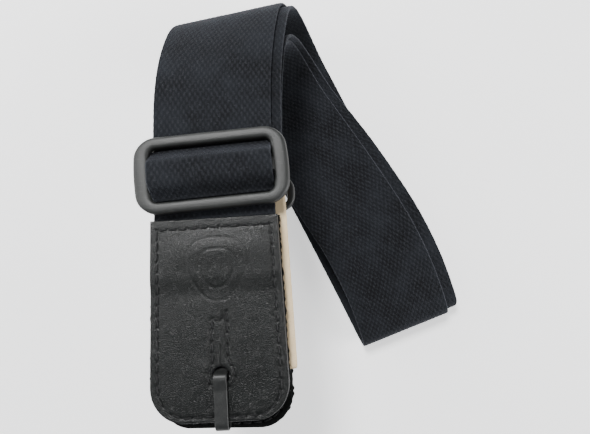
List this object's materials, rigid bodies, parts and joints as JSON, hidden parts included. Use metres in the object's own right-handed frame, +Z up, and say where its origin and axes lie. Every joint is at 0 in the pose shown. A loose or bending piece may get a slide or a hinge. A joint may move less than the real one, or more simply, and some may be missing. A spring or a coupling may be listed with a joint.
{
  "type": "guitar strap",
  "caption": "Folded cotton webbing guitar strap with a three-bar slider, a rectangular ring and two stitched leather ends with keyhole button holes; one holds a tie lace.",
  "frame": {"origin": "middle of the folded bundle's footprint, on the table it lies on", "axes": "+Z up off the table; +Y along the folded bundle, from the leather ends towards the outer fold"},
  "size_m": [0.1546, 0.1918, 0.0863],
  "materials": {
    "webbing": "woven black cotton, matt, slightly fuzzy",
    "leather": "smooth black, soft satin",
    "plastic": "moulded satin black",
    "thread": "waxed black sewing thread",
    "lace": "flat black lace, soft satin",
    "card": "plain kraft card"
  },
  "bodies": {
    "webbing": {"web_front_run": "webbing", "web_front_return": "webbing", "web_rear_run": "webbing", "web_rear_return": "webbing", "ring_web_loop": "webbing"},
    "slider": {"slider_frame": "plastic", "slider_web_wave": "webbing", "slider_sewn_loop": "webbing"},
    "front_end": {"front_web_tail": "webbing", "front_leather_face": "leather", "front_leather_back": "leather", "front_border_stitch": "thread", "front_top_stitch": "thread", "front_keyhole_stitch": "thread", "tie_lace": "lace", "lace_knot": "lace"},
    "ring": {"ring": "plastic"},
    "rear_end": {"rear_loop": "webbing", "rear_leather_face": "leather", "rear_leather_back": "leather", "rear_border_stitch": "thread", "rear_top_stitch": "thread", "rear_keyhole_stitch": "thread"},
    "card": {"backing_card": "card"}
  },
  "joints": [
    {"name": "slider_slide", "type": "slide", "parent": "webbing", "child": "slider", "axis": [-0.0573, 0.9888, -0.1375], "range_m": [0, 0.02]},
    {"name": "front_end_flex", "type": "hinge", "parent": "webbing", "child": "front_end", "pos_m": [-0.04525, -0.01076, 0.07173], "axis": [-0.9979, -0.0608, -0.0213], "range_deg": [0, 35]},
    {"name": "ring_swing", "type": "hinge", "parent": "webbing", "child": "ring", "pos_m": [-0.0426, 0.00428, 0.06114], "axis": [0.9992, 0.0302, 0.0274], "range_deg": [0, 12]},
    {"name": "rear_end_swing", "type": "hinge", "parent": "ring", "child": "rear_end", "pos_m": [-0.04228, -0.00761, 0.06276], "axis": [0.9992, 0.0302, 0.0274], "range_deg": [0, 20]},
    {"name": "card_slide", "type": "slide", "parent": "webbing", "child": "card", "axis": [0.9979, 0.0608, 0.0213], "range_m": [0, 0.055]}
  ]
}
